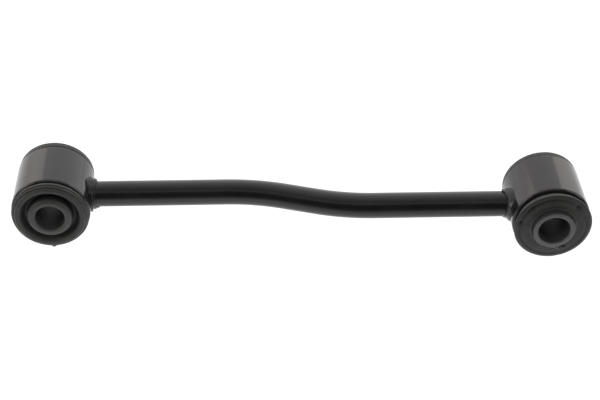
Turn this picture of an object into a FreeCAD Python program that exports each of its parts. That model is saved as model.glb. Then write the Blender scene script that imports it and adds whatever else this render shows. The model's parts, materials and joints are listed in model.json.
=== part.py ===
"""Sway bar link: a cranked round rod with a rubber-bushed eye welded to each end.

Millimetres. The origin is the centre of the left eye's bore, +X runs along the rod
towards the right eye, Y lies along both bores, and +Z is up.
"""
import FreeCAD, Part
import math
import os
import Sketcher
from FreeCAD import Rotation, Vector

# Driving dimensions: spreadsheet alias, value in mm, and what it measures.
SIZES = [
    ("rod_diameter", 11.7, "round bar of the link"),
    ("eye_spacing", 223.4, "left bore centre to right bore centre, along X"),
    ("eye_offset", 11.7, "how far the right eye is set towards -Y"),
    ("crank_middle", 111.7, "middle of the rod's S-bend, along X"),
    ("crank_length", 67.0, "length of the S-bend along X"),
    ("crank_radius", 94.0, "centre-line radius of both bends"),
    ("eye_diameter", 35.0, "outside of an eye tube"),
    ("eye_wall", 3.0, "wall of an eye tube"),
    ("eye_length", 26.2, "length of an eye tube along its bore"),
    ("eye_edge", 0.4, "chamfer on an eye tube's edges"),
    ("weld_root", 2.5, "how deep a weld ring starts inside the eye's outside"),
    ("left_weld_diameter", 15.8, "outside of the left weld ring"),
    ("left_weld_length", 1.9, "left weld, from the eye's outside to its toe"),
    ("left_weld_round", 1.0, "rounding of the left weld's crown"),
    ("right_weld_diameter", 16.2, "outside of the right weld ring"),
    ("right_weld_length", 1.8, "right weld, from the eye's outside to its toe"),
    ("right_weld_round", 1.2, "rounding of the right weld's crown"),
    ("weld_slope", 0.9, "how far a weld's crown stands back from its toe"),
    ("fit_gap", 0.05, "radial gap on each side of a rubber bush"),
    ("lip_diameter", 34.4, "outside of a rubber lip"),
    ("lip_gap", 0.5, "gap between an eye tube's end and the rubber lip"),
    ("lip_face", 17.3, "rubber lip's end face, from the middle of the eye"),
    ("lip_round", 1.7, "rounding of a lip's outer edge"),
    ("left_recess_diameter", 27.2, "mouth of the recess in the left rubber"),
    ("left_recess_floor", 25.8, "outside of that recess's floor"),
    ("left_recess_depth", 4.4, "depth of that recess"),
    ("right_recess_diameter", 27.0, "mouth of the shallow recess in the right rubber"),
    ("right_recess_floor", 26.0, "outside of that recess's floor"),
    ("right_recess_depth", 0.5, "depth of that recess"),
    ("left_sleeve_diameter", 20.0, "outside of the left inner sleeve"),
    ("left_bore_diameter", 13.0, "bolt hole through the left sleeve"),
    ("left_sleeve_length", 35.4, "length of the left sleeve"),
    ("right_sleeve_diameter", 18.8, "outside of the right inner sleeve"),
    ("right_bore_diameter", 14.2, "bolt hole through the right sleeve"),
    ("right_sleeve_length", 40.4, "length of the right sleeve"),
    ("sleeve_edge", 0.3, "chamfer on a sleeve's outer edges"),
    ("bore_edge", 0.5, "chamfer at a bore's mouths"),
]

doc = FreeCAD.newDocument("SwayBarLink")


def make_sheet():
    """Write the driving dimensions into a spreadsheet, one alias a row."""
    sheet = doc.addObject("Spreadsheet::Sheet", "Sizes")
    for row, (alias, value, meaning) in enumerate(SIZES, start=1):
        sheet.set(f"A{row}", meaning)
        sheet.set(f"B{row}", str(value))
        sheet.setAlias(f"B{row}", alias)
    doc.recompute()
    return sheet


sheet = make_sheet()


def value_of(expression):
    """The number that an expression over the sheet's cells gives now."""
    return float(sheet.evalExpression(expression))


def new_body(label):
    """An empty body whose label is the name of its node."""
    body = doc.addObject("PartDesign::Body", label)
    body.Label = label
    return body


def new_sketch(body, name, role):
    """A sketch on one of the body's own origin planes."""
    planes = {feature.Role: feature for feature in body.Origin.OriginFeatures}
    sketch = body.newObject("Sketcher::SketchObject", name)
    sketch.AttachmentSupport = (planes[role], [""])
    sketch.MapMode = "FlatFace"
    return sketch


def bind(sketch, constraint, expression):
    """Add a dimension to a sketch and tie it to the sheet."""
    index = sketch.addConstraint(constraint)
    sketch.setExpression(f"Constraints[{index}]", expression)


def place_across(sketch, shape, point, across):
    """Dimension a point from the sketch's origin along its horizontal axis."""
    bind(sketch, Sketcher.Constraint("DistanceX", -1, 1, shape, point, value_of(across)), across)


def place_point(sketch, shape, point, across, up):
    """Dimension a point from the sketch's origin along both axes."""
    place_across(sketch, shape, point, across)
    bind(sketch, Sketcher.Constraint("DistanceY", -1, 1, shape, point, value_of(up)), up)


def draw_circle(sketch, across, up, diameter):
    """A circle whose centre and diameter are tied to the sheet."""
    centre = Vector(value_of(across), value_of(up), 0)
    circle = Part.Circle(centre, Vector(0, 0, 1), value_of(diameter) / 2)
    shape = sketch.addGeometry(circle, False)
    place_point(sketch, shape, 3, across, up)
    bind(sketch, Sketcher.Constraint("Diameter", shape, value_of(diameter)), diameter)


def draw_outline(sketch, corners):
    """A closed outline of straight sides, each corner tied to the sheet."""
    points = [Vector(value_of(across), value_of(up), 0) for across, up in corners]
    sides = []
    for start, end in zip(points, points[1:] + points[:1]):
        sides.append(sketch.addGeometry(Part.LineSegment(start, end), False))
    for side, following in zip(sides, sides[1:] + sides[:1]):
        sketch.addConstraint(Sketcher.Constraint("Coincident", side, 2, following, 1))
    for side, (across, up) in zip(sides, corners):
        place_point(sketch, side, 1, across, up)


def circle_edges(feature, wanted):
    """Names of a feature's circular edges that suit wanted(radius, centre)."""
    names = []
    for number, edge in enumerate(feature.Shape.Edges, start=1):
        curve = edge.Curve
        if isinstance(curve, Part.Circle) and wanted(curve.Radius, curve.Center):
            names.append(f"Edge{number}")
    return names


def pad_both_ways(body, sketch, length):
    """Pad a sketch by the given length, half to each side of its plane."""
    pad = body.newObject("PartDesign::Pad", "Pad")
    pad.Profile = sketch
    pad.SideType = "Symmetric"
    pad.setExpression("Length", length)
    sketch.Visibility = False
    doc.recompute()
    return pad


def cut_through(body, sketch):
    """Pocket a sketch through everything, to both sides of its plane."""
    uncut_volume = body.Shape.Volume
    pocket = body.newObject("PartDesign::Pocket", "Pocket")
    pocket.Profile = sketch
    pocket.SideType = "Symmetric"
    pocket.Type = "ThroughAll"
    sketch.Visibility = False
    doc.recompute()
    if body.Shape.Volume >= uncut_volume:
        raise RuntimeError(f"the pocket in {body.Label} cuts nothing")


def dress_edges(body, kind, name, base, edges, size):
    """Put a fillet or chamfer of the given size on the named edges."""
    dress = body.newObject(kind, name)
    dress.Base = (base, edges)
    dress.setExpression("Radius" if kind.endswith("Fillet") else "Size", size)
    doc.recompute()
    return dress


def revolve(body, sketch):
    """Turn a sketch once round its own horizontal axis."""
    revolution = body.newObject("PartDesign::Revolution", "Revolution")
    revolution.Profile = sketch
    revolution.ReferenceAxis = (sketch, ["H_Axis"])
    revolution.Angle = 360.0
    sketch.Visibility = False
    doc.recompute()
    return revolution


def move_to_right_eye(body, rotation=Rotation()):
    """Put a body that was made about the origin at the right eye."""
    body.Placement = FreeCAD.Placement(Vector(0, 0, 0), rotation)
    body.setExpression("Placement.Base.x", "Sizes.eye_spacing")
    body.setExpression("Placement.Base.y", "-Sizes.eye_offset")


def draw_rod_path(sketch):
    """Centre line of the rod: eye to eye, with two equal bends and a slanted run."""
    radius = value_of("Sizes.crank_radius")
    length = value_of("Sizes.crank_length")
    offset = value_of("Sizes.eye_offset")
    middle = Vector(value_of("Sizes.crank_middle"), -offset / 2, 0)
    first_centre = middle + Vector(-length / 2, offset / 2 - radius, 0)
    rise = 2 * radius - offset
    slope = math.atan2(rise, length) - math.asin(2 * radius / math.hypot(length, rise))

    def on_first_bend(turn):
        return first_centre + Vector(-math.sin(turn), math.cos(turn), 0) * radius

    def on_second_bend(turn):
        return middle * 2 - on_first_bend(turn)

    def add_line(start, end):
        return sketch.addGeometry(Part.LineSegment(start, end), False)

    def add_bend(place_on_bend):
        ends_and_middle = [place_on_bend(turn) for turn in (0, slope / 2, slope)]
        return sketch.addGeometry(Part.Arc(*ends_and_middle), False)

    right_eye = Vector(value_of("Sizes.eye_spacing"), -offset, 0)
    left_run = add_line(Vector(0, 0, 0), on_first_bend(0))
    first_bend = add_bend(on_first_bend)
    slant = add_line(on_first_bend(slope), on_second_bend(slope))
    second_bend = add_bend(on_second_bend)
    right_run = add_line(on_second_bend(0), right_eye)

    # The sketch stores an arc anticlockwise, so the first bend's end 2 meets the left run
    # and the second bend's end 2 meets the right run.
    sketch.addConstraint(Sketcher.Constraint("Coincident", left_run, 1, -1, 1))
    sketch.addConstraint(Sketcher.Constraint("Horizontal", left_run))
    sketch.addConstraint(Sketcher.Constraint("Tangent", left_run, 2, first_bend, 2))
    sketch.addConstraint(Sketcher.Constraint("Tangent", first_bend, 1, slant, 1))
    sketch.addConstraint(Sketcher.Constraint("Tangent", slant, 2, second_bend, 1))
    sketch.addConstraint(Sketcher.Constraint("Tangent", second_bend, 2, right_run, 1))
    sketch.addConstraint(Sketcher.Constraint("Horizontal", right_run))
    sketch.addConstraint(Sketcher.Constraint("Equal", first_bend, second_bend))
    bind(sketch, Sketcher.Constraint("Radius", first_bend, radius), "Sizes.crank_radius")
    bend_start = "Sizes.crank_middle - Sizes.crank_length / 2"
    bend_end = "Sizes.crank_middle + Sizes.crank_length / 2"
    place_across(sketch, left_run, 2, bend_start)
    place_across(sketch, right_run, 1, bend_end)
    place_point(sketch, right_run, 2, "Sizes.eye_spacing", "-Sizes.eye_offset")


def make_link_rod():
    """Cranked rod, swept from eye centre to eye centre and coped to both eye tubes."""
    body = new_body("link_rod")
    section = new_sketch(body, "RodSection", "YZ_Plane")
    draw_circle(section, "0", "0", "Sizes.rod_diameter")
    path = new_sketch(body, "RodPath", "XY_Plane")
    draw_rod_path(path)
    doc.recompute()
    pipe = body.newObject("PartDesign::AdditivePipe", "Bar")
    pipe.Profile = section
    pipe.Spine = (path, [f"Edge{number}" for number in range(1, len(path.Shape.Edges) + 1)])
    section.Visibility = False
    path.Visibility = False
    doc.recompute()
    copes = new_sketch(body, "EyeCopes", "XZ_Plane")
    draw_circle(copes, "0", "0", "Sizes.eye_diameter")
    draw_circle(copes, "Sizes.eye_spacing", "0", "Sizes.eye_diameter")
    cut_through(body, copes)
    return body


def make_eye_tube(label):
    """Short steel tube that holds a rubber bush."""
    body = new_body(label)
    rings = new_sketch(body, "TubeSection", "XZ_Plane")
    draw_circle(rings, "0", "0", "Sizes.eye_diameter")
    draw_circle(rings, "0", "0", "Sizes.eye_diameter - 2 * Sizes.eye_wall")
    pad = pad_both_ways(body, rings, "Sizes.eye_length")
    edges = circle_edges(pad, lambda radius, centre: True)
    dress_edges(body, "PartDesign::Chamfer", "EdgeBreak", pad, edges, "Sizes.eye_edge")
    return body


def make_weld_bead(label, side):
    """Ring of weld round the rod, run on to the eye tube."""
    body = new_body(label)
    root = "Sizes.eye_diameter / 2 - Sizes.weld_root"
    toe = f"Sizes.eye_diameter / 2 + Sizes.{side}_weld_length"
    crown = f"{toe} - Sizes.weld_slope"
    inside = "Sizes.rod_diameter / 2"
    outside = f"Sizes.{side}_weld_diameter / 2"
    profile = new_sketch(body, "WeldProfile", "XY_Plane")
    draw_outline(profile, [(root, inside), (toe, inside), (crown, outside), (root, outside)])
    ring = revolve(body, profile)
    crown_radius = value_of(outside)
    crown_place = value_of(crown)
    edges = circle_edges(ring, lambda radius, centre: (
        math.isclose(radius, crown_radius) and math.isclose(centre.x, crown_place)))
    dress_edges(body, "PartDesign::Fillet", "CrownRound", ring, edges, f"Sizes.{side}_weld_round")
    cope = new_sketch(body, "EyeCope", "XZ_Plane")
    draw_circle(cope, "0", "0", "Sizes.eye_diameter")
    cut_through(body, cope)
    return body


def make_rubber_bush(label, side):
    """Rubber bush: a core inside the eye tube with a lip over each of the tube's ends."""
    body = new_body(label)
    inside = f"Sizes.{side}_sleeve_diameter / 2 + Sizes.fit_gap"
    core = "Sizes.eye_diameter / 2 - Sizes.eye_wall - Sizes.fit_gap"
    lip = "Sizes.lip_diameter / 2"
    under_lip = "(Sizes.eye_length / 2 + Sizes.lip_gap)"
    face = "Sizes.lip_face"
    mouth = f"Sizes.{side}_recess_diameter / 2"
    floor_edge = f"Sizes.{side}_recess_floor / 2"
    floor = f"(Sizes.lip_face - Sizes.{side}_recess_depth)"
    back_half = [
        (under_lip, core),
        (under_lip, lip),
        (face, lip),
        (face, mouth),
        (floor, floor_edge),
        (floor, inside),
    ]
    front_half = [(f"-{along}", radius) for along, radius in reversed(back_half)]
    profile = new_sketch(body, "BushProfile", "YZ_Plane")
    draw_outline(profile, back_half + front_half)
    bush = revolve(body, profile)
    lip_radius = value_of(lip)
    face_place = value_of(face)
    edges = circle_edges(bush, lambda radius, centre: (
        math.isclose(radius, lip_radius) and math.isclose(abs(centre.y), face_place)))
    dress_edges(body, "PartDesign::Fillet", "LipRound", bush, edges, "Sizes.lip_round")
    return body


def make_inner_sleeve(label, side):
    """Steel sleeve that the mounting bolt clamps, longer than the rubber round it."""
    body = new_body(label)
    rings = new_sketch(body, "SleeveSection", "XZ_Plane")
    draw_circle(rings, "0", "0", f"Sizes.{side}_sleeve_diameter")
    draw_circle(rings, "0", "0", f"Sizes.{side}_bore_diameter")
    pad = pad_both_ways(body, rings, f"Sizes.{side}_sleeve_length")
    outside = value_of(f"Sizes.{side}_sleeve_diameter") / 2
    outer_edges = circle_edges(pad, lambda radius, centre: math.isclose(radius, outside))
    outer = dress_edges(body, "PartDesign::Chamfer", "OuterEdges", pad, outer_edges,
                        "Sizes.sleeve_edge")
    bore = value_of(f"Sizes.{side}_bore_diameter") / 2
    bore_edges = circle_edges(outer, lambda radius, centre: math.isclose(radius, bore))
    dress_edges(body, "PartDesign::Chamfer", "BoreMouths", outer, bore_edges, "Sizes.bore_edge")
    return body


def make_pieces():
    """Every piece of the link, the right-hand ones moved to the right eye."""
    turned_round = Rotation(Vector(0, 0, 1), 180)
    pieces = [make_link_rod()]
    for side in ("left", "right"):
        tube = make_eye_tube(f"eye_tube_{side}")
        weld = make_weld_bead(f"weld_bead_{side}", side)
        bush = make_rubber_bush(f"rubber_bush_{side}", side)
        sleeve = make_inner_sleeve(f"inner_sleeve_{side}", side)
        if side == "right":
            for body in (tube, bush, sleeve):
                move_to_right_eye(body)
            move_to_right_eye(weld, turned_round)
        pieces += [tube, weld, bush, sleeve]
    doc.recompute()
    return pieces


def check_pieces(pieces):
    """Stop if anything in the document failed or a piece isn't one good solid."""
    for item in doc.Objects:
        if "Invalid" in item.State or "Error" in item.State:
            raise RuntimeError(f"{item.Name} failed: {item.State}")
    for body in pieces:
        shape = body.Shape
        if shape.isNull() or not shape.isValid() or len(shape.Solids) != 1:
            raise RuntimeError(f"{body.Label} is not one valid solid")


def export_pieces(pieces):
    """Write each piece to its own STEP file, named after its node."""
    os.makedirs("parts", exist_ok=True)
    for body in pieces:
        body.Shape.exportStep(f"parts/{body.Label}.step")
        box = body.Shape.optimalBoundingBox()
        print(f"{body.Label:20s} {body.Shape.Volume:9.1f} mm3  "
              f"x {box.XMin:7.2f} {box.XMax:7.2f}  y {box.YMin:7.2f} {box.YMax:7.2f}  "
              f"z {box.ZMin:7.2f} {box.ZMax:7.2f}")


pieces = make_pieces()
check_pieces(pieces)
export_pieces(pieces)
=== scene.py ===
"""Looks of the sway bar link: its detailed pieces, their materials, the stage and the camera.

Lengths are in millimetres, and MM turns them into metres; from the stage on they are in metres.
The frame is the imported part's: origin in the left bore, +X along the rod, Y along both bores.
"""
import json
import math

import bmesh
import bpy
from mathutils import Matrix, Vector, noise
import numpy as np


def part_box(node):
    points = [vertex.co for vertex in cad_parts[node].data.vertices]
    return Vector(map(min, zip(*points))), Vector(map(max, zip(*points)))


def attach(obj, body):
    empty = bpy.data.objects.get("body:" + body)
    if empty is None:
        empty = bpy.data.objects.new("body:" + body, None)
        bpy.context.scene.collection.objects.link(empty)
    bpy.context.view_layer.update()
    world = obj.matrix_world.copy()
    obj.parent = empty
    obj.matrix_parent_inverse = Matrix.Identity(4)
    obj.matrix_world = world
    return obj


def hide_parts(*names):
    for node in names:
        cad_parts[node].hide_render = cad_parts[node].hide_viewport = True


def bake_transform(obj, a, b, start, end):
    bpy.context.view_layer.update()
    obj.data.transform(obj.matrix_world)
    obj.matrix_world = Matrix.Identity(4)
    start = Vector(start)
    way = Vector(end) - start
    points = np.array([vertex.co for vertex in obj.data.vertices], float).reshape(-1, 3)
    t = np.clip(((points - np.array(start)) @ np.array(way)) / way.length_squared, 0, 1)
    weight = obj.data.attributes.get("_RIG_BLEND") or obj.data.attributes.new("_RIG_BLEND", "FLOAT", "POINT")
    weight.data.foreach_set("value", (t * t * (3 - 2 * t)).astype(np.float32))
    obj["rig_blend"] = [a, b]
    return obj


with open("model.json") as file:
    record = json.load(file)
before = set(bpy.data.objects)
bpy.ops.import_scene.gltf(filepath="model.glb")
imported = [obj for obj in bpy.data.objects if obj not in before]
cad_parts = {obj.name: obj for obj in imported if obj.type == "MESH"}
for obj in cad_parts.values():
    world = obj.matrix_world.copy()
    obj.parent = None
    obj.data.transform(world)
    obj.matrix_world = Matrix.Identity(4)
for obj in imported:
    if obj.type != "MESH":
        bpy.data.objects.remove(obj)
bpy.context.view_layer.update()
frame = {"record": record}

MM = 0.001

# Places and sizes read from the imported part.
MOUNTS = {mount["name"]: mount for mount in frame["record"]["mounts"]}
EYES = {side: Vector(MOUNTS[f"{side}_bore"]["pos_m"]) / MM for side in ("left", "right")}
BORE_RADIUS = {side: MOUNTS[f"{side}_bore"]["dims"]["r_mm"] for side in ("left", "right")}


def half_size(node, axis):
    """Half of a CAD node's size along an axis (0 X, 1 Y, 2 Z)."""
    low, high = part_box(node)
    return (high[axis] - low[axis]) / 2 / MM


EYE_RADIUS = half_size("eye_tube_left", 2)
EYE_HALF_LENGTH = half_size("eye_tube_left", 1)
ROD_RADIUS = half_size("link_rod", 2)
FLOOR_LEVEL = -EYE_RADIUS

# Repeated from the part, because the frame doesn't state them.
EYE_WALL = 3.0
CRANK_MIDDLE = 111.7
CRANK_LENGTH = 67.0
CRANK_RADIUS = 94.0
FIT_GAP = 0.05


# ---------------------------------------------------------------- camera

# The place is in millimetres, the angles are in radians and the lens is for a 36 mm sensor.
CAMERA_PLACE = Vector((84.0, -477.8, 367.6))
CAMERA_YAW = 0.0587
CAMERA_PITCH = 0.6619
CAMERA_ROLL = 0.0210
CAMERA_LENS = 79.05


def make_camera():
    """Camera at the photograph's viewing angle."""
    data = bpy.data.cameras.new("camera")
    data.lens = CAMERA_LENS
    data.sensor_width = 36.0
    data.clip_start = 0.01
    data.clip_end = 50.0
    camera = bpy.data.objects.new("camera", data)
    bpy.context.scene.collection.objects.link(camera)
    turned = (
        Matrix.Rotation(-CAMERA_YAW, 4, "Z")
        @ Matrix.Rotation(math.pi / 2 - CAMERA_PITCH, 4, "X")
        @ Matrix.Rotation(CAMERA_ROLL, 4, "Z")
    )
    camera.matrix_world = Matrix.Translation(CAMERA_PLACE * MM) @ turned
    bpy.context.scene.camera = camera


make_camera()


# ---------------------------------------------------------------- outlines and meshes

def rounded_outline(corners, steps=6):
    """Closed outline with rounded corners; each corner is (along, radius, rounding)."""
    outline = []
    for index, (along, radius, rounding) in enumerate(corners):
        corner = Vector((along, radius))
        if rounding == 0:
            outline.append(corner)
            continue
        before = (Vector(corners[index - 1][:2]) - corner).normalized()
        after = (Vector(corners[(index + 1) % len(corners)][:2]) - corner).normalized()
        half_angle = before.angle(after) / 2
        centre = corner + (before + after).normalized() * rounding / math.sin(half_angle)
        reach = rounding / math.tan(half_angle)
        first_arm = (corner + before * reach - centre).normalized()
        last_arm = (corner + after * reach - centre).normalized()
        for step in range(steps + 1):
            outline.append(centre + first_arm.slerp(last_arm, step / steps) * rounding)
    return outline


def fill_in(outline, spacing):
    """The same closed outline with points added, so that no side is longer than spacing."""
    filled = []
    for start, end in zip(outline, outline[1:] + outline[:1]):
        count = max(1, math.ceil((end - start).length / spacing))
        filled += [start.lerp(end, step / count) for step in range(count)]
    return filled


def add_object(name, vertices, faces, place=Vector((0, 0, 0))):
    """A smooth-shaded mesh object; vertices are in mm about place."""
    mesh = bpy.data.meshes.new(name)
    mesh.from_pydata([vertex * MM for vertex in vertices], [], faces)
    shell = bmesh.new()
    shell.from_mesh(mesh)
    bmesh.ops.recalc_face_normals(shell, faces=shell.faces)
    shell.to_mesh(mesh)
    shell.free()
    mesh.shade_smooth()
    made = bpy.data.objects.new(name, mesh)
    made.location = place * MM
    bpy.context.scene.collection.objects.link(made)
    return made


def ring_faces(rings, per_ring, closed):
    """Quads that join rings of points, one after another; closed joins the last to the first."""
    faces = []
    for ring in range(rings if closed else rings - 1):
        following = (ring + 1) % rings
        for point in range(per_ring):
            after = (point + 1) % per_ring
            faces.append((
                ring * per_ring + point,
                ring * per_ring + after,
                following * per_ring + after,
                following * per_ring + point,
            ))
    return faces


def lathe(name, outline, segments, place, reshape=None):
    """Turn a closed outline of (along, radius) once round the bore axis through place."""
    vertices = []
    for segment in range(segments):
        angle = 2 * math.pi * segment / segments
        outward = Vector((math.sin(angle), 0, math.cos(angle)))
        for along, radius in outline:
            vertex = outward * radius + Vector((0, along, 0))
            vertices.append(reshape(vertex) if reshape else vertex)
    return add_object(name, vertices, ring_faces(segments, len(outline), True), place)


def other_end(corners):
    """Outline corners mirrored to a piece's other end, in the order that closes the outline."""
    return [(-along, radius, rounding) for along, radius, rounding in reversed(corners)]


def bump(vertex, middle, width):
    """A smooth bump: 1 at the middle and fading to nothing over the width."""
    return math.exp(-((vertex - middle).length / width) ** 2)


def on_face(angle, radius, along):
    """Point at an angle (degrees clockwise from the top, seen from the front) and radius."""
    turn = math.radians(angle)
    return Vector((radius * math.sin(turn), along, radius * math.cos(turn)))


# ---------------------------------------------------------------- materials

def new_material(name, color, roughness):
    """A node material with plain values set on its shader."""
    material = bpy.data.materials.new(name)
    material.use_nodes = True
    shader = material.node_tree.nodes["Principled BSDF"]
    shader.inputs["Base Color"].default_value = (*color, 1.0)
    shader.inputs["Roughness"].default_value = roughness
    return material, shader


def add_node(material, kind, **settings):
    """A shader node; a setting named after an input sets it, any other sets a property."""
    node = material.node_tree.nodes.new(kind)
    for key, value in settings.items():
        label = key.replace("_", " ").title()
        if label in node.inputs:
            node.inputs[label].default_value = value
        else:
            setattr(node, key, value)
    return node


def link(material, output, target):
    material.node_tree.links.new(output, target)


def object_noise(material, size, detail=3.0, stretch=(1, 1, 1)):
    """Noise whose lumps are about size mm across, fixed to the object."""
    place = add_node(material, "ShaderNodeTexCoord")
    mapping = add_node(material, "ShaderNodeMapping")
    mapping.inputs["Scale"].default_value = stretch
    texture = add_node(material, "ShaderNodeTexNoise", scale=1 / (size * MM), detail=detail)
    link(material, place.outputs["Object"], mapping.inputs["Vector"])
    link(material, mapping.outputs["Vector"], texture.inputs["Vector"])
    return texture.outputs["Fac"]


def vary_roughness(material, shader, pattern, low, high):
    """Let a pattern move the roughness between low and high."""
    spread = add_node(material, "ShaderNodeMapRange", from_min=0.3, from_max=0.7,
                      to_min=low, to_max=high)
    link(material, pattern, spread.inputs["Value"])
    link(material, spread.outputs["Result"], shader.inputs["Roughness"])


def vary_color(material, shader, pattern, dark, light, low=0.35, high=0.65):
    """Let a pattern move the base colour between dark and light."""
    ramp = add_node(material, "ShaderNodeValToRGB")
    ramp.color_ramp.elements[0].position = low
    ramp.color_ramp.elements[0].color = (*dark, 1.0)
    ramp.color_ramp.elements[1].position = high
    ramp.color_ramp.elements[1].color = (*light, 1.0)
    link(material, pattern, ramp.inputs["Fac"])
    link(material, ramp.outputs["Color"], shader.inputs["Base Color"])


def add_bump(material, shader, height, depth, under=None):
    """A bump as deep as depth mm over the height's range, on top of another bump."""
    node = add_node(material, "ShaderNodeBump", distance=depth * MM)
    node.inputs["Strength"].default_value = 1.0
    link(material, height, node.inputs["Height"])
    if under:
        link(material, under.outputs["Normal"], node.inputs["Normal"])
    link(material, node.outputs["Normal"], shader.inputs["Normal"])
    return node


def make_gloss_paint():
    """Gloss black paint of the eye tubes, with a little orange peel."""
    material, shader = new_material("gloss_black_paint", (0.010, 0.010, 0.010), 0.08)
    shader.inputs["IOR"].default_value = 1.5
    shader.inputs["Specular Tint"].default_value = (1.0, 0.94, 0.98, 1.0)
    vary_color(material, shader, object_noise(material, 9.0),
               (0.008, 0.008, 0.008), (0.013, 0.0125, 0.0125))
    vary_roughness(material, shader, object_noise(material, 5.0), 0.06, 0.11)
    add_bump(material, shader, object_noise(material, 1.6, 1.0), 0.004)
    return material


def make_satin_paint():
    """Satin black paint of the rod."""
    material, shader = new_material("satin_black_paint", (0.008, 0.008, 0.008), 0.25)
    vary_color(material, shader, object_noise(material, 7.0, stretch=(0.3, 1, 1)),
               (0.006, 0.006, 0.006), (0.010, 0.010, 0.0102))
    vary_roughness(material, shader, object_noise(material, 3.0, stretch=(0.4, 1, 1)),
                   0.20, 0.29)
    add_bump(material, shader, object_noise(material, 0.8, 2.0), 0.0012)
    return material


def make_weld_paint():
    """The same black paint lying thicker and glossier over the weld."""
    material, shader = new_material("weld_black_paint", (0.018, 0.018, 0.018), 0.18)
    vary_color(material, shader, object_noise(material, 1.8),
               (0.014, 0.0135, 0.0135), (0.024, 0.0235, 0.0235))
    vary_roughness(material, shader, object_noise(material, 1.5), 0.13, 0.22)
    add_bump(material, shader, object_noise(material, 0.9, 2.0), 0.012)
    return material


def make_weld_metal():
    """Bare grey weld metal of the drop of spatter, mottled by scale."""
    material, shader = new_material("bare_weld_metal", (0.30, 0.295, 0.295), 0.4)
    vary_color(material, shader, object_noise(material, 0.6),
               (0.26, 0.255, 0.255), (0.34, 0.335, 0.335))
    vary_roughness(material, shader, object_noise(material, 0.5), 0.33, 0.47)
    add_bump(material, shader, object_noise(material, 0.3, 2.0), 0.01)
    return material


def make_rubber():
    """Moulded black rubber, slightly dusty, with a fine mould texture."""
    material, shader = new_material("bush_rubber", (0.037, 0.037, 0.036), 0.6)
    vary_color(material, shader, object_noise(material, 4.0),
               (0.033, 0.033, 0.0325), (0.042, 0.042, 0.041))
    vary_roughness(material, shader, object_noise(material, 2.2), 0.50, 0.66)
    grain = add_bump(material, shader, object_noise(material, 0.35, 2.0), 0.012)
    add_bump(material, shader, object_noise(material, 2.5, 2.0), 0.03, grain)
    return material


def make_scuffed_rubber():
    """Paler rubber where it is torn and rubbed."""
    material, shader = new_material("scuffed_rubber", (0.125, 0.123, 0.122), 0.5)
    vary_color(material, shader, object_noise(material, 0.8),
               (0.105, 0.103, 0.102), (0.145, 0.143, 0.142))
    vary_roughness(material, shader, object_noise(material, 0.6), 0.42, 0.58)
    add_bump(material, shader, object_noise(material, 0.3, 2.0), 0.015)
    return material


def make_sleeve_steel(name, shaded_side_color, turned_and_lit_end_color):
    """Dark phosphated steel of an inner sleeve, coloured by facing: the ends are paler, partly for their
    turned finish and partly as painted light, and the sides darker as painted shade.
    """
    material, shader = new_material(name, shaded_side_color, 0.45)
    place = add_node(material, "ShaderNodeTexCoord")
    split = add_node(material, "ShaderNodeSeparateXYZ")
    # Painted shade and light: the colour follows the normal's Y, so the ends are paler and the sides darker.
    facing = add_node(material, "ShaderNodeMath", operation="ABSOLUTE")
    mottle_and_facing_shade = add_node(material, "ShaderNodeMath", operation="MULTIPLY_ADD")
    mottle_and_facing_shade.inputs[1].default_value = 0.35
    link(material, place.outputs["Normal"], split.inputs["Vector"])
    link(material, split.outputs["Y"], facing.inputs[0])
    link(material, object_noise(material, 1.5), mottle_and_facing_shade.inputs[0])
    link(material, facing.outputs["Value"], mottle_and_facing_shade.inputs[2])
    vary_color(material, shader, mottle_and_facing_shade.outputs["Value"], shaded_side_color, turned_and_lit_end_color, 0.5, 1.35)
    vary_roughness(material, shader, object_noise(material, 1.0), 0.36, 0.55)
    turning = add_node(material, "ShaderNodeTexWave", wave_type="RINGS", rings_direction="Y",
                       scale=1 / (2.2 * MM), distortion=0.6, detail=1.0)
    link(material, place.outputs["Object"], turning.inputs["Vector"])
    marks = add_bump(material, shader, turning.outputs["Fac"], 0.008)
    add_bump(material, shader, object_noise(material, 0.4, 2.0), 0.008, marks)
    return material


GLOSS_PAINT = make_gloss_paint()
SATIN_PAINT = make_satin_paint()
WELD_PAINT = make_weld_paint()
WELD_METAL = make_weld_metal()
RUBBER = make_rubber()
SCUFFED_RUBBER = make_scuffed_rubber()
# The first colour darkens each sleeve's sides as painted shade. The second is its ends' turned finish,
# partly brightened as painted light.
SLEEVE_STEEL = {
    "left": make_sleeve_steel("left_sleeve_steel", (0.042, 0.042, 0.042), (0.049, 0.049, 0.048)),
    "right": make_sleeve_steel("right_sleeve_steel", (0.046, 0.046, 0.046), (0.118, 0.116, 0.118)),
}


def finish_piece(piece, material, body, node=None):
    """Give a piece its material and slot, let it ride, and let it stand for a CAD node."""
    piece.data.materials.append(material)
    if body:
        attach(piece, body)
    if node:
        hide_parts(node)


# ---------------------------------------------------------------- rod

def crank_slope():
    """Angle of the slanted run between the two bends, below the X axis."""
    rise = 2 * CRANK_RADIUS + EYES["right"].y
    between_centres = math.hypot(CRANK_LENGTH, rise)
    return math.asin(2 * CRANK_RADIUS / between_centres) - math.atan2(rise, CRANK_LENGTH)


def rod_centre(x):
    """Point of the rod's centre line at x, and its direction there."""
    slope = crank_slope()
    offset = EYES["right"].y
    from_middle = x - CRANK_MIDDLE
    into_bend = CRANK_LENGTH / 2 - abs(from_middle)
    side = -1 if from_middle < 0 else 1
    if into_bend <= 0:
        return Vector((x, 0 if side < 0 else offset, 0)), Vector((1, 0, 0))
    if into_bend < CRANK_RADIUS * math.sin(slope):
        turn = math.asin(into_bend / CRANK_RADIUS)
        drop = CRANK_RADIUS * (1 - math.cos(turn))
        y = -drop if side < 0 else offset + drop
        return Vector((x, y, 0)), Vector((math.cos(turn), -math.sin(turn), 0))
    y = offset / 2 - from_middle * math.tan(slope)
    return Vector((x, y, 0)), Vector((math.cos(slope), -math.sin(slope), 0))


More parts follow.
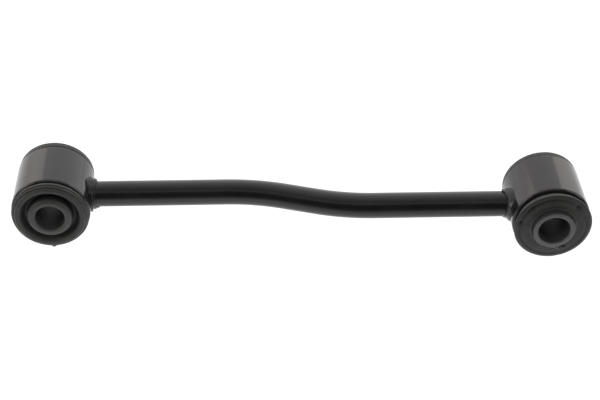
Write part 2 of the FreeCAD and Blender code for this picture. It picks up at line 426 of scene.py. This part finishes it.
# The bending tool's pinch: its distance from the crank's middle, its reach along the rod and
# its depth.
PINCH_PLACE = CRANK_LENGTH * 0.34
PINCH_REACH = 7.0
PINCH_DEPTH = 0.05

# The rod's unevenness: its depth, and the length of its waves. The shrink is a share of the
# radius, and sets the visible rod just inside the part's.
UNEVEN_DEPTH = 0.03
UNEVEN_LENGTH = 14
ROD_SHRINK = 0.002


def rod_radius(x, angle):
    """Rod radius, pinched a little by the bending tool and slightly uneven all along."""
    bend_places = (CRANK_MIDDLE - PINCH_PLACE, CRANK_MIDDLE + PINCH_PLACE)
    pinch = sum(math.exp(-((x - place) / PINCH_REACH) ** 2) for place in bend_places)
    flat = PINCH_DEPTH * pinch * math.cos(2 * angle)
    around = Vector((x / UNEVEN_LENGTH, 1.5 * math.cos(angle), 1.5 * math.sin(angle)))
    uneven = UNEVEN_DEPTH * (1 + noise.noise(around)) / 2
    return ROD_RADIUS * (1 - ROD_SHRINK) + flat - uneven


def make_rod():
    """The cranked rod, coped at both ends to sit against the eye tubes."""
    segments = 72
    step = 1.0
    buried = 0.4
    past_tube = 1
    first_x = EYES["left"].x + EYE_RADIUS + past_tube
    last_x = EYES["right"].x - EYE_RADIUS - past_tube
    count = round((last_x - first_x) / step)
    places = [first_x + (last_x - first_x) * index / count for index in range(count + 1)]
    angles = [2 * math.pi * segment / segments for segment in range(segments)]

    def ring_point(x, angle):
        centre, direction = rod_centre(x)
        sideways = Vector((-direction.y, direction.x, 0))
        outward = sideways * math.cos(angle) + Vector((0, 0, 1)) * math.sin(angle)
        return centre + outward * rod_radius(x, angle)

    def coped_point(eye, side, angle):
        point = ring_point(eye.x + side * EYE_RADIUS, angle)
        point.x = eye.x + side * math.sqrt((EYE_RADIUS - buried) ** 2 - point.z ** 2)
        return point

    rings = [[coped_point(EYES["left"], 1, angle) for angle in angles]]
    rings += [[ring_point(x, angle) for angle in angles] for x in places]
    rings += [[coped_point(EYES["right"], -1, angle) for angle in angles]]
    vertices = [point for ring in rings for point in ring]
    faces = ring_faces(len(rings), segments, False)
    for ring, eye, side in ((0, EYES["left"], 1), (len(rings) - 1, EYES["right"], -1)):
        centre = len(vertices)
        vertices.append(Vector((eye.x + side * (EYE_RADIUS - buried), eye.y, 0)))
        first = ring * segments
        for segment in range(segments):
            faces.append((first + segment, first + (segment + 1) % segments, centre))
    rod = add_object("rod_bar", vertices, faces)
    finish_piece(rod, SATIN_PAINT, "link", "link_rod")


# ---------------------------------------------------------------- eye tubes

# Rounding of an eye tube's edges.
TUBE_ROUND = {"inner": 0.35, "back": 0.5, "front": 1.2}


def make_eye_tube(side):
    """Painted steel tube with softened edges."""
    inner = EYE_RADIUS - EYE_WALL
    corners = [
        (EYE_HALF_LENGTH, inner, TUBE_ROUND["inner"]),
        (EYE_HALF_LENGTH, EYE_RADIUS, TUBE_ROUND["back"]),
        (-EYE_HALF_LENGTH, EYE_RADIUS, TUBE_ROUND["front"]),
        (-EYE_HALF_LENGTH, inner, TUBE_ROUND["inner"]),
    ]
    outline = fill_in(rounded_outline(corners), spacing=1.2)
    tube = lathe(f"eye_shell_{side}", outline, segments=192, place=EYES[side])
    finish_piece(tube, GLOSS_PAINT, "link", f"eye_tube_{side}")


# ---------------------------------------------------------------- welds

# Radius of the foot on the tube, reach along the rod past the tube, height of the bulge, place
# in the noise, height of the unevenness, ridges across the bead as (share of the way to the
# toe, width, height), and lumps as (angle round the rod in degrees from its back, width, reach,
# height).
WELDS = {
    "left": {
        "foot": 8.1, "reach": 1.8, "bulge": 0.6, "seed": 3.0, "uneven": 0.16,
        "ridges": [(0.06, 0.09, -0.40), (0.30, 0.10, 0.35), (0.54, 0.09, -0.45),
                   (0.80, 0.09, 0.40)],
        "lumps": [(75, 20, 0.8, 0.4), (262, 20, 0.7, 0.4), (290, 12, -0.2, 0.4)],
    },
    "right": {
        "foot": 8.3, "reach": 1.5, "bulge": 0.55, "seed": 11.0, "uneven": 0.08,
        "ridges": [(0.30, 0.20, -0.10), (0.72, 0.06, -0.25), (0.90, 0.07, 0.75)],
        "lumps": [(70, 20, 1.6, 0.2), (285, 22, 1.9, 0.4), (180, 30, -0.2, 0.1)],
    },
}

# Middle of the drop of spatter from the left bore, its radius, its stretch along X and Z, and
# the share of its radius that is uneven.
SPATTER = {
    "place": Vector((19.7, -3.5, -4.25)),
    "radius": 1.0,
    "stretch": (1.35, 0.85),
    "uneven": 0.12,
}


def lump_height(weld, angle, part):
    """Sum of a weld's lumps at an angle; part 2 is their reach and 3 their height."""
    total = 0
    for lump in weld["lumps"]:
        away = math.degrees(angle) - lump[0]
        away = (away + 180) % 360 - 180
        total += lump[part] * math.exp(-((away / lump[1]) ** 2))
    return total


def ridge_height(weld, share, angle):
    """Sum of a weld's ridges at a share of the way across it; they wander along its run."""
    around = Vector((1.3 * math.cos(angle), 1.3 * math.sin(angle), weld["seed"]))
    wander = 0.05 * noise.noise(around)
    return sum(height * math.exp(-(((share - place - wander) / width) ** 2))
               for place, width, height in weld["ridges"])


def weld_section(weld, angle):
    """Points across the bead at an angle round the rod, as (distance from the eye's axis, radius).

    The bead's heel is sunk a little in the tube, and its toe and its underside in the rod.
    """
    steps = 40
    foot_wander = 0.4
    reach_wander = 0.35
    sunk_in_tube = 0.3
    sunk_in_rod = 0.2
    underside = ROD_RADIUS - 0.8
    under_toe = 0.2
    under_heel = 0.9
    around = Vector((1.6 * math.cos(angle), 1.6 * math.sin(angle), weld["seed"]))
    foot = weld["foot"] + foot_wander * noise.noise(around)
    reach = weld["reach"] + reach_wander * noise.noise(around * 1.5) + lump_height(weld, angle, 2)
    foot_height = foot * math.sin(angle)
    toe = Vector((EYE_RADIUS + reach, ROD_RADIUS - sunk_in_rod))
    heel = Vector((math.sqrt((EYE_RADIUS - sunk_in_tube) ** 2 - foot_height ** 2), foot))
    across = toe - heel
    outward = Vector((-across.y, across.x)).normalized()
    section = []
    for step in range(steps + 1):
        share = step / steps
        fade = math.sin(math.pi * share)
        bulge = (weld["bulge"] + lump_height(weld, angle, 3)) * fade ** 0.6
        place = Vector((across.length * share, 6 * math.cos(angle), 6 * math.sin(angle)))
        uneven = weld["uneven"] * noise.noise(place * 0.45 + Vector((weld["seed"], 0, 0)))
        height = bulge + (ridge_height(weld, share, angle) + uneven) * fade ** 0.5
        section.append(heel.lerp(toe, share) + outward * height)
    section.append(Vector((toe.x - under_toe, underside)))
    section.append(Vector((EYE_RADIUS - under_heel, underside)))
    return section


def make_weld(side):
    """Lumpy fillet of weld round the rod's end, rippled along its run."""
    weld = WELDS[side]
    segments = 180
    towards_rod = 1 if side == "left" else -1
    vertices = []
    for segment in range(segments):
        angle = 2 * math.pi * segment / segments
        section = weld_section(weld, angle)
        for along, radius in section:
            vertices.append(Vector((
                towards_rod * along,
                radius * math.cos(angle),
                radius * math.sin(angle),
            )))
    bead = add_object(f"weld_ring_{side}", vertices,
                      ring_faces(segments, len(section), True), EYES[side])
    finish_piece(bead, WELD_PAINT, "link", f"weld_bead_{side}")


def make_spatter():
    """Drop of weld metal that stuck under the rod beside the left bead."""
    wide, tall = SPATTER["stretch"]
    shell = bmesh.new()
    bmesh.ops.create_icosphere(shell, subdivisions=4, radius=SPATTER["radius"])
    vertices = []
    for vertex in shell.verts:
        swell = 1 + SPATTER["uneven"] * noise.noise(vertex.co * 1.5 + Vector((5, 0, 0)))
        vertices.append(Vector((vertex.co.x * wide, vertex.co.y, vertex.co.z * tall)) * swell)
    faces = [[corner.index for corner in face.verts] for face in shell.faces]
    shell.free()
    drop = add_object("weld_spatter", vertices, faces, SPATTER["place"])
    finish_piece(drop, WELD_METAL, "link")


# ---------------------------------------------------------------- rubber bushes

# Outlines from the tube's end out over the lip and in to the sleeve. Each corner is
# (distance from the eye's middle, radius, rounding).
LIP_OUTLINES = {
    "left_front": [
        (13.7, 17.0, 0.15),
        (15.1, 17.2, 0.1),
        (15.3, 16.65, 0.06),
        (15.55, 16.85, 0.08),
        (16.15, 16.65, 0.12),
        (16.4, 15.85, 0.08),
        (16.65, 15.8, 0.08),
        (17.3, 15.2, 0.3),
        (17.3, 13.5, 1.6),
        (13.2, 11.6, 1.5),
    ],
    "left_back": [
        (14.0, 17.1, 0.15),
        (16.6, 17.1, 0.4),
        (17.3, 16.1, 0.4),
        (17.3, 13.5, 1.6),
        (13.2, 11.6, 1.5),
    ],
    "right_front": [
        (13.3, 15.9, 0.3),
        (16.3, 17.35, 0.15),
        (17.0, 17.45, 0.3),
        (17.7, 16.2, 0.9),
        (17.4, 10.7, 0.6),
        (17.9, 9.8, 0.2),
    ],
    "right_back": [
        (13.35, 17.3, 0.08),
        (15.7, 17.25, 0.4),
        (17.3, 15.6, 0.6),
        (17.3, 10.7, 0.6),
        (17.9, 9.8, 0.2),
    ],
}

# Height of the long waves of the moulding on each bush, of the short ones on both, and how far
# each bush is drawn in under its waves.
LONG_WAVES = {"left": 0.05, "right": 0.06}
SHORT_WAVES = 0.02
DRAWN_IN = {"left": 0.03, "right": 0.05}

# Marks on the front faces: the left bush's flash, the right bush's dents as (place, width,
# depth), its valley and its torn film. Angles are in degrees, as on_face takes them. The right
# bush's front face is what lies in front of RIGHT_FACE_START.
LEFT_FLASH = {"place": on_face(179, 16.2, -16.4), "pull": Vector((0, -0.4, -0.8)), "width": 0.9}
RIGHT_FACE_START = -16.5
RIGHT_DENTS = [
    (on_face(42, 14.4, -17.4), 1.3, 0.75),
    (on_face(352, 14.2, -17.4), 1.2, 0.5),
    (on_face(318, 14.8, -17.4), 1.2, 0.5),
    (on_face(281, 15.0, -17.4), 1.2, 0.7),
    (on_face(154, 10.8, -17.4), 1.0, 1.8),
    (on_face(151, 12.2, -17.4), 0.8, 1.1),
]
RIGHT_VALLEY = {"radius": 14.8, "width": 0.6, "depth": 1.2, "middle": 330, "spread": 65}
RIGHT_TEAR = {"first": 161, "last": 192, "height": 2.4, "flare": 1.3, "thickness": 0.5}


def moulding_waves(vertex, side):
    """Slight unevenness of moulded rubber: long waves with short ones over them."""
    return LONG_WAVES[side] * noise.noise(vertex / 4) + SHORT_WAVES * noise.noise(vertex / 1.2)


def shape_left_rubber(vertex):
    """Uneven moulding, and the little flash at the bottom of the front lip."""
    uneven = moulding_waves(vertex, "left")
    outward = Vector((vertex.x, 0, vertex.z)).normalized()
    flash = LEFT_FLASH["pull"] * bump(vertex, LEFT_FLASH["place"], LEFT_FLASH["width"])
    return vertex + outward * (uneven - DRAWN_IN["left"]) + flash


def face_angle(vertex):
    """Angle of a point in degrees clockwise from the top, seen from the front."""
    return math.degrees(math.atan2(vertex.x, vertex.z)) % 360


def valley_depth(vertex):
    """Depth of the shallow valley inside the right lip, deepest at the upper left."""
    away = (face_angle(vertex) - RIGHT_VALLEY["middle"] + 180) % 360 - 180
    across = (math.hypot(vertex.x, vertex.z) - RIGHT_VALLEY["radius"]) / RIGHT_VALLEY["width"]
    least = 0.25
    share = least + (1 - least) * math.exp(-((away / RIGHT_VALLEY["spread"]) ** 2))
    return RIGHT_VALLEY["depth"] * share * math.exp(-across * across)


def shape_right_rubber(vertex):
    """Uneven moulding, with the valley and the dents on the front face."""
    front = Vector((0, -1, 0))
    end = 1 if vertex.y > 0 else -1
    uneven = moulding_waves(vertex, "right")
    moved = vertex + Vector((0, end * (uneven - DRAWN_IN["right"]), 0))
    if vertex.y > RIGHT_FACE_START:
        return moved
    moved -= front * valley_depth(vertex)
    for place, width, depth in RIGHT_DENTS:
        moved -= front * depth * bump(vertex, place, width)
    return moved


def bond_to_steel(piece, side):
    """Stretch the rubber between tube and sleeve: its outside stays with the link."""
    sleeve = half_size(f"inner_sleeve_{side}", 2)
    tube = EYE_RADIUS - EYE_WALL
    eye = EYES[side]
    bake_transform(piece, "link", f"bush_{side}", start=eye * MM + Vector((0, 0, tube * MM)),
             end=eye * MM + Vector((0, 0, sleeve * MM)))
    weights = piece.data.attributes["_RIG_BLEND"].data
    for vertex, weight in zip(piece.data.vertices, weights):
        from_axis = math.hypot(vertex.co.x - eye.x * MM, vertex.co.z - eye.z * MM) / MM
        share = min(1.0, max(0.0, (tube - from_axis) / (tube - sleeve)))
        weight.value = share * share * (3 - 2 * share)


def bush_corners(side):
    """Closed outline corners of a bush: its back end, then its front end mirrored."""
    core = (EYE_HALF_LENGTH + 0.2, EYE_RADIUS - EYE_WALL - FIT_GAP, 0.2)
    ends = []
    for end in ("back", "front"):
        corners = [core] + LIP_OUTLINES[f"{side}_{end}"]
        floor = corners[-1][0]
        corners.append((floor, half_size(f"inner_sleeve_{side}", 2) + FIT_GAP, 0))
        ends.append(corners)
    return ends[0] + other_end(ends[1])


def make_rubber_bush(side):
    """Moulded rubber bush with a lip over each end of its tube."""
    outline = fill_in(rounded_outline(bush_corners(side), steps=5), spacing=0.38)
    reshape = shape_left_rubber if side == "left" else shape_right_rubber
    bush = lathe(f"lipped_rubber_{side}", outline, 256, EYES[side], reshape)
    bond_to_steel(bush, side)
    finish_piece(bush, RUBBER, None, f"rubber_bush_{side}")


def make_torn_film():
    """Ragged film of rubber that stands up beside the right sleeve, torn along its edge.

    It starts sunk in the rubber, comes out of its face and curls away from the sleeve.
    """
    first, last = RIGHT_TEAR["first"], RIGHT_TEAR["last"]
    root = half_size("inner_sleeve_right", 2) + 0.1
    thickness = RIGHT_TEAR["thickness"]
    sunk = 16.9
    face = 17.2
    rise_steps = 6
    fall_steps = 12
    count = 4 * (last - first)
    per_section = 6
    vertices = []
    for step in range(count + 1):
        angle = first + (last - first) * step / count
        fade = min(1, step / rise_steps, (count - step) / fall_steps)
        ragged = 0.8 + 0.55 * noise.noise(Vector((angle / 4.5, 0.5, 3)))
        curled = 0.7 + 0.8 * noise.noise(Vector((angle / 6, 7, 1)))
        height = fade * RIGHT_TEAR["height"] * ragged
        flare = fade * RIGHT_TEAR["flare"] * curled
        section = [
            (sunk, root),
            (face + height * 0.5, root + flare * 0.25),
            (face + height, root + flare),
            (face + height, root + flare + thickness * 0.7),
            (face + height * 0.5, root + flare * 0.35 + thickness),
            (sunk, root + thickness + 0.6),
        ]
        vertices += [on_face(angle, radius, -along) for along, radius in section]
    faces = ring_faces(count + 1, per_section, False)
    faces.append(tuple(range(per_section)))
    faces.append(tuple(count * per_section + point for point in range(per_section)))
    film = add_object("torn_rubber_film", vertices, faces, EYES["right"])
    bond_to_steel(film, "right")
    finish_piece(film, SCUFFED_RUBBER, None)


# ---------------------------------------------------------------- sleeves

# Rounding of a sleeve's outer edge and of its bore's mouth.
SLEEVE_ROUND = {"left": 1.4, "right": 0.4}
BORE_ROUND = {"left": 0.9, "right": 0.7}


def make_sleeve(side):
    """Turned steel sleeve with broken edges and chamfered bore mouths."""
    outer = half_size(f"inner_sleeve_{side}", 2)
    half_length = half_size(f"inner_sleeve_{side}", 1)
    bore = BORE_RADIUS[side]
    corners = [
        (half_length, bore, BORE_ROUND[side]),
        (half_length, outer, SLEEVE_ROUND[side]),
    ]
    corners += other_end(corners)
    outline = fill_in(rounded_outline(corners, steps=4), spacing=1.5)
    sleeve = lathe(f"steel_sleeve_{side}", outline, segments=160, place=EYES[side])
    finish_piece(sleeve, SLEEVE_STEEL[side], f"sleeve_{side}",
                 f"inner_sleeve_{side}")


make_rod()
make_spatter()
make_torn_film()
for side in ("left", "right"):
    make_eye_tube(side)
    make_weld(side)
    make_rubber_bush(side)
    make_sleeve(side)


# ---------------------------------------------------------------- stage and light

# The floor's glow on the link runs from the first strength in front to the second behind,
# between two places along Y. The dome's runs likewise, by the Y of the direction.
FLOOR_HALF = 4.0
FLOOR_FADE = (-0.11, -0.02)
FLOOR_GLOW = (0.12, 1.08)
DOME_FADE = (-0.65, 0.85)
DOME_GLOW = (0.07, 1.42)

# A light panel is slightly warm, and its strength rises from the bores' height to PANEL_TOP.
PANEL_TOP = 0.75
PANEL_COLOR = (1.0, 0.975, 0.93, 1.0)
LINK_MIDDLE = 0.11

# The two softboxes stand behind the link. Their outlines are (x, z), and their lower inner
# corners are cut off.
SOFTBOX_PLACE = 1.15
LEFT_SOFTBOX = [
    (-1.4, 0.0),
    (-0.79, 0.0),
    (-0.73, 0.32),
    (-0.60, 0.52),
    (-0.43, 0.695),
    (-0.43, 1.2),
    (-1.4, 1.2),
]
RIGHT_SOFTBOX = [
    (1.02, 0.0),
    (1.8, 0.0),
    (1.8, 1.2),
    (0.84, 1.2),
    (0.84, 0.66),
    (0.93, 0.4),
    (1.0, 0.2),
]

# The fill light is above and behind the camera, a side light is on each side of the camera,
# and the key light stands behind the link on its left.
FILL_LIGHT = [(-1.5, -1.1, 1.03), (1.8, -1.1, 1.03), (1.8, -0.75, 1.30), (-1.5, -0.75, 1.30)]
SIDE_LIGHT = [
    (-1.06, -0.75, 0.1),
    (-1.27, -0.27, 0.1),
    (-1.27, -0.27, 1.3),
    (-1.06, -0.75, 1.3),
]
KEY_LIGHT = [
    (-1.40, 0.50, 0.42),
    (-1.40, 0.78, 0.42),
    (-1.40, 0.78, 0.88),
    (-1.40, 0.50, 0.88),
]


def graded_strength(material, coordinate, axis, ends, strengths):
    """Emission strength that runs between two values from one place on an axis to another."""
    split = add_node(material, "ShaderNodeSeparateXYZ")
    strength = add_node(material, "ShaderNodeMapRange", from_min=ends[0], from_max=ends[1],
                        to_min=strengths[0], to_max=strengths[1])
    strength.interpolation_type = "SMOOTHSTEP"
    link(material, coordinate, split.inputs["Vector"])
    link(material, split.outputs[axis], strength.inputs["Value"])
    return strength.outputs["Result"]


def make_floor():
    """Plain white floor that the link lies on; its glow on the link fades towards the front."""
    level = FLOOR_LEVEL * MM
    corners = [
        (-FLOOR_HALF, -FLOOR_HALF, level),
        (FLOOR_HALF, -FLOOR_HALF, level),
        (FLOOR_HALF, FLOOR_HALF, level),
        (-FLOOR_HALF, FLOOR_HALF, level),
    ]
    mesh = bpy.data.meshes.new("floor")
    mesh.from_pydata(corners, [], [range(len(corners))])
    floor = bpy.data.objects.new("floor", mesh)
    bpy.context.scene.collection.objects.link(floor)
    material, shader = new_material("floor_white", (0.1, 0.1, 0.1), 0.9)
    shader.inputs["Specular IOR Level"].default_value = 0.0
    shader.inputs["Emission Color"].default_value = (1, 1, 1, 1)
    place = add_node(material, "ShaderNodeTexCoord")
    fading = graded_strength(material, place.outputs["Object"], "Y", FLOOR_FADE, FLOOR_GLOW)
    rays = add_node(material, "ShaderNodeLightPath")
    seen = add_node(material, "ShaderNodeMath", operation="MAXIMUM")
    link(material, fading, seen.inputs[0])
    link(material, rays.outputs["Is Camera Ray"], seen.inputs[1])
    link(material, seen.outputs["Value"], shader.inputs["Emission Strength"])
    mesh.materials.append(material)


def make_light_panel(name, corners, strengths):
    """Glowing panel that the camera doesn't see, its strength rising from bottom to top."""
    mesh = bpy.data.meshes.new(name)
    mesh.from_pydata(corners, [], [range(len(corners))])
    panel = bpy.data.objects.new(name, mesh)
    bpy.context.scene.collection.objects.link(panel)
    panel.visible_camera = False
    material = bpy.data.materials.new(name)
    material.use_nodes = True
    material.node_tree.nodes.clear()
    place = add_node(material, "ShaderNodeTexCoord")
    glow = add_node(material, "ShaderNodeEmission", color=PANEL_COLOR)
    output = add_node(material, "ShaderNodeOutputMaterial")
    bores_height = 0.0
    ends = (bores_height, PANEL_TOP)
    strength = graded_strength(material, place.outputs["Object"], "Z", ends, strengths)
    link(material, strength, glow.inputs["Strength"])
    link(material, glow.outputs["Emission"], output.inputs["Surface"])
    mesh.materials.append(material)


def make_world():
    """Soft studio dome: bright behind the link, dim in front of it, and white to the camera."""
    world = bpy.data.worlds.new("studio")
    bpy.context.scene.world = world
    world.use_nodes = True
    nodes = world.node_tree.nodes
    links = world.node_tree.links
    nodes.clear()
    place = nodes.new("ShaderNodeTexCoord")
    split = nodes.new("ShaderNodeSeparateXYZ")
    strength = nodes.new("ShaderNodeMapRange")
    strength.inputs["From Min"].default_value = DOME_FADE[0]
    strength.inputs["From Max"].default_value = DOME_FADE[1]
    strength.inputs["To Min"].default_value = DOME_GLOW[0]
    strength.inputs["To Max"].default_value = DOME_GLOW[1]
    dome = nodes.new("ShaderNodeBackground")
    seen = nodes.new("ShaderNodeBackground")
    rays = nodes.new("ShaderNodeLightPath")
    mix = nodes.new("ShaderNodeMixShader")
    output = nodes.new("ShaderNodeOutputWorld")
    links.new(place.outputs["Generated"], split.inputs["Vector"])
    links.new(split.outputs["Y"], strength.inputs["Value"])
    links.new(strength.outputs["Result"], dome.inputs["Strength"])
    links.new(rays.outputs["Is Camera Ray"], mix.inputs["Fac"])
    links.new(dome.outputs["Background"], mix.inputs[1])
    links.new(seen.outputs["Background"], mix.inputs[2])
    links.new(mix.outputs["Shader"], output.inputs["Surface"])
    dome.inputs["Color"].default_value = (1, 1, 1, 1)
    seen.inputs["Color"].default_value = (1, 1, 1, 1)


def at_softbox_place(outline):
    """Corners of a softbox from its outline."""
    return [(x, SOFTBOX_PLACE, z) for x, z in outline]


def mirrored(corners):
    """The same corners on the other side of the link's middle."""
    return [(2 * LINK_MIDDLE - x, y, z) for x, y, z in corners]


# Each panel's name, corners, and strengths at the bores' height and from PANEL_TOP up.
LIGHT_PANELS = [
    ("softbox_left", at_softbox_place(LEFT_SOFTBOX), (1.15, 1.95)),
    ("softbox_right", at_softbox_place(RIGHT_SOFTBOX), (1.35, 2.05)),
    ("fill_light", FILL_LIGHT, (0.48, 0.56)),
    ("side_light_left", SIDE_LIGHT, (2.1, 2.4)),
    ("side_light_right", mirrored(SIDE_LIGHT), (2.1, 2.4)),
    ("key_light", KEY_LIGHT, (5.0, 5.0)),
]

make_floor()
for name, corners, strengths in LIGHT_PANELS:
    make_light_panel(name, corners, strengths)
make_world()
bpy.context.scene.view_settings.view_transform = "Standard"
